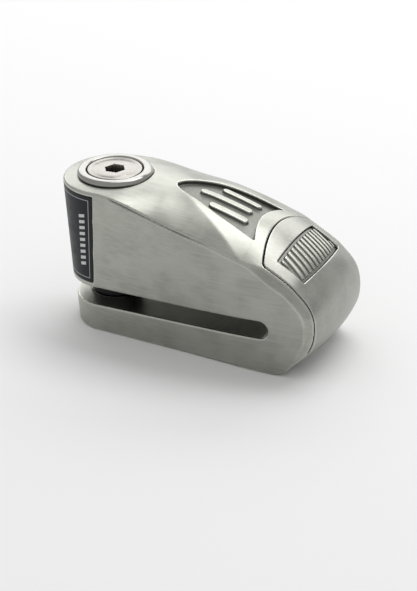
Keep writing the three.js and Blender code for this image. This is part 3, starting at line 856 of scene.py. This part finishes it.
def label_material(name, color):
    """Black printed film: a fine pale frame line and two plain columns of slanted bars."""
    s = Shader(name, color, 0.0, 0.45)
    s.bsdf.inputs["Specular IOR Level"].default_value = 0.22
    wrap = s.node("ShaderNodeUVMap", uv_map="wrap").outputs[0]
    split = s.node("ShaderNodeSeparateXYZ")
    s.feed(split.inputs[0], wrap)
    u, v = split.outputs["X"], split.outputs["Y"]

    def beyond(value, centre, half):
        """Distance past a band of the given half width about a centre."""
        return s.math("SUBTRACT", s.math("ABSOLUTE", s.math("SUBTRACT", value, centre)), half)

    across = beyond(u, LABEL_RUN / 2, LABEL_RUN / 2 - 1.5)
    along = beyond(v, LABEL_MIDDLE, LABEL_HALF - 1.6)
    border = s.math("ABSOLUTE", s.math("MAXIMUM", across, along))
    line = s.spread(border, 0.17, 0.09)
    side = s.math("PINGPONG", u, LABEL_RUN / 2)
    column = beyond(side, 4.6, 1.35)
    slant = s.math("ADD", v, s.math("MULTIPLY", side, 0.25))
    stripe = s.math("SUBTRACT", s.math("PINGPONG", slant, 1.2), 0.62)
    span = beyond(v, LABEL_MIDDLE - 0.6, 11.0)
    bars = s.spread(s.math("MAXIMUM", s.math("MAXIMUM", column, stripe), span), 0.07, -0.07)
    print_mask = s.math("MAXIMUM", s.math("MULTIPLY", line, 0.55), s.math("MULTIPLY", bars, 0.8))
    dust = s.spread(s.noise(3, detail=5, rough=0.65), 0.4, 0.8, 0.0, 0.4)
    ground = s.mix(dust, color, tuple(c * 1.8 for c in color))
    s.color(s.mix(print_mask, ground, (0.72, 0.74, 0.74)))
    s.rough(s.spread(dust, 0.0, 0.4, 0.4, 0.55))
    s.bump(print_mask, 0.02, 0.4)
    s.bump(s.noise(2.5, detail=2), 0.02, 0.3)
    return s.material


REAR_HALF_WIDTH = 19.1
REAR_LENGTH = REAR_RADIUS - REAR_HEEL * (RIM - LABEL_MIDDLE)
LABEL_RUN = math.pi * (REAR_LENGTH + REAR_HALF_WIDTH) / 2 + 2 * label_front(LABEL_MIDDLE)

MATERIALS = {
    "body_steel": brushed_casting("body_metal", (0.40, 0.405, 0.365), (0.27, 0.275, 0.25), 0.33),
    "cap_steel": brushed_casting("cap_metal", (0.385, 0.385, 0.355), (0.25, 0.25, 0.23), 0.34),
    "polished_steel": polished_metal("polished_metal", (0.36, 0.355, 0.335), 0.15),
    "satin_steel": faced_metal("key_face_metal", (0.37, 0.355, 0.33), 0.27),
    "spring_steel": polished_metal("spring_metal", (0.45, 0.45, 0.44), 0.28),
    "brass": faced_metal("mechanism_brass", (0.72, 0.52, 0.24), 0.3),
    "black_sleeve": moulded("sleeve_black", (0.012, 0.012, 0.014), 0.3, 0.5, 0.01, 0.3),
    "rubber": moulded("seal_rubber", (0.018, 0.018, 0.018), 0.75, 0.25, 0.03),
    "label_film": label_material("label_print", (0.012, 0.015, 0.017)),
    "tray_plastic": moulded("tray_moulding", (0.035, 0.038, 0.042), 0.5),
    "circuit_board": circuit_board_material("board_mask", (0.02, 0.13, 0.05)),
    "cell_wrap": moulded("cell_shrink_wrap", (0.04, 0.10, 0.26), 0.3, 1.5, 0.03, 0.3),
}
SLOT_OF = {row["node"]: row["material_slot"] for row in frame["record"]["subparts"]}
BODIES = frame["record"]["behaviour"]["bodies"]
BODY_OF = {node: body for body, nodes in BODIES.items() for node in nodes}


def dress(obj, slot_name):
    if obj.material_slots:
        for holder in obj.material_slots:
            holder.material = MATERIALS[slot_name]
    else:
        obj.data.materials.append(MATERIALS[slot_name])


def stand_for(piece, node):
    """The piece takes the CAD node's place, its finish and its body."""
    dress(piece, SLOT_OF[node])
    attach(piece, BODY_OF[node])
    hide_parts(node)


# ---- the pieces ------------------------------------------------------------------------------
def body_shade(x, y, z):
    """Where light hardly reaches: inside the slot, on the recess walls and in the cap's joint."""
    depth = -crest_field(x, y, z)
    near = 1 - smooth(0.1, 0.5, np.abs(slot_field(x, y, z)))
    slot = near * smooth(0.4, 2.4, -flank_field(x, y, z)) * (0.3 + 0.7 * smooth(30, 58, x))
    pocket = read_pocket(x, y)
    rim = (1 - smooth(0.3, 0.8, np.abs(pocket))) * smooth(0.35, 0.7, depth)
    band = smooth(0.75, 0.95, depth) * (1 - smooth(1.55, 1.75, depth))
    walls = band * (1 - smooth(-0.6, -0.2, pocket))
    seat = np.abs(cap_space_field(x, y, z, SIDE_SEAT, 0.0))
    joint = (1 - smooth(0.15, 0.4, seat)) * smooth(0.35, 0.8, depth)
    return np.maximum.reduce([slot, 0.75 * rim, 0.6 * walls, joint])


def cap_shade(x, y, z):
    """Painted shade on the cap's edge, down inside its joint with the body."""
    edge = 1 - smooth(0.15, 0.4, np.abs(cap_space_field(x, y, z, SIDE_CAP, CAP_GAP)))
    return edge * smooth(0.3, 0.7, -crest_field(x, y, z))


def pocket_floor(x, y, z):
    """Cast floor of the recess in the top."""
    crest = crest_field(x, y, z)
    return (1 - smooth(-0.4, 0.0, read_pocket(x, y))) * smooth(0.9, 1.5, -crest) * (z > 25)


def plate_bed(x, y, z):
    """Ground of the plate between its ribs and round them."""
    crest = crest_field(x, y, z)
    return (1 - smooth(-0.3, 0.1, plate_outline_field(x, y, z, 0.0))) * smooth(0.7, 1.1, -crest)


for node_name, node_object in frame["nodes"].items():
    dress(node_object, SLOT_OF[node_name])

body_shell = sculpt("body_shell", body_field, (-22, -26, -16), (90, 26, 48), CELL, 190000,
                    deep=pocket_floor, dim=body_shade)
cap_shell = sculpt("nose_cap_shell", cap_field, (60, -23, -13), (91, 23, 39), CELL * 0.72, 150000,
                   deep=plate_bed, dim=cap_shade)
nose_plate = sculpt("nose_plate_ribbed", plate_field, (65, -18, 16), (85, 18, 37), CELL * 0.6, 120000,
                    mirrored=False, deep=plate_bed)
stand_for(body_shell, "body")
stand_for(cap_shell, "nose_cap")
stand_for(nose_plate, "cap_plate")
stand_for(make_button_ring(), "button_ring")
stand_for(make_key_face(), "key_face")
stand_for(make_shutter(), "dust_shutter")
stand_for(make_sleeve(), "bolt_sleeve")
stand_for(make_bolt(), "bolt")
stand_for(make_label(), "label")


# ---- floor, light and camera -----------------------------------------------------------------
def make_floor():
    mesh = bpy.data.meshes.new("studio_floor")
    half, level = 6.0, CAD_BOX[0][2]
    corners = [(-half, -half, level), (half, -half, level), (half, half, level), (-half, half, level)]
    mesh.from_pydata(corners, [], [(0, 1, 2, 3)])
    floor = bpy.data.objects.new("studio_floor", mesh)
    bpy.context.scene.collection.objects.link(floor)
    paint = Shader("floor_paint", (0.9, 0.9, 0.9), 0.0, 0.9)
    paint.bsdf.inputs["Specular IOR Level"].default_value = 0.0
    mesh.materials.append(paint.material)


def add_light(name, direction, distance, size, radiance):
    """Rectangular soft box that faces the lock."""
    light = bpy.data.lights.new(name, "AREA")
    light.shape = "RECTANGLE"
    light.size, light.size_y = size
    light.energy = radiance * math.pi * size[0] * size[1]
    obj = bpy.data.objects.new(name, light)
    bpy.context.scene.collection.objects.link(obj)
    aim = Vector(direction).normalized()
    obj.location = aim * distance
    obj.rotation_euler = aim.to_track_quat("Z", "Y").to_euler()


def make_world():
    world = bpy.data.worlds.new("studio")
    world.use_nodes = True
    bpy.context.scene.world = world
    sky = world.node_tree.nodes["Background"]
    sky.inputs["Color"].default_value = (1, 1, 1, 1)
    sky.inputs["Strength"].default_value = 0.58


def make_camera():
    azimuth, elevation, roll = (math.radians(a) for a in (22.713, 26.297, 1.177))
    aim, distance = Vector((0.001951, 0.0, 0.013860)), 2.1111
    level = math.cos(elevation)
    back = Vector((math.sin(azimuth) * level, -math.cos(azimuth) * level, math.sin(elevation)))
    right = Vector((math.cos(azimuth), math.sin(azimuth), 0.0))
    up = back.cross(right)
    axis_x = right * math.cos(roll) + up * math.sin(roll)
    axis_y = up * math.cos(roll) - right * math.sin(roll)
    lens = bpy.data.cameras.new("studio_camera")
    lens.sensor_width = 36.0
    lens.lens = 352.7
    camera = bpy.data.objects.new("studio_camera", lens)
    bpy.context.scene.collection.objects.link(camera)
    turn = Matrix((axis_x, axis_y, back)).transposed().to_4x4()
    camera.matrix_world = Matrix.Translation(aim + back * distance) @ turn
    bpy.context.scene.camera = camera


make_floor()
make_world()
make_camera()
add_light("back_panel", (-0.25, 0.85, 0.45), 1.8, (2.6, 1.0), 1.7)
add_light("overhead", (0.1, 0.45, 0.9), 1.5, (1.2, 0.7), 3.2)
bpy.context.scene.view_settings.view_transform = "Standard"
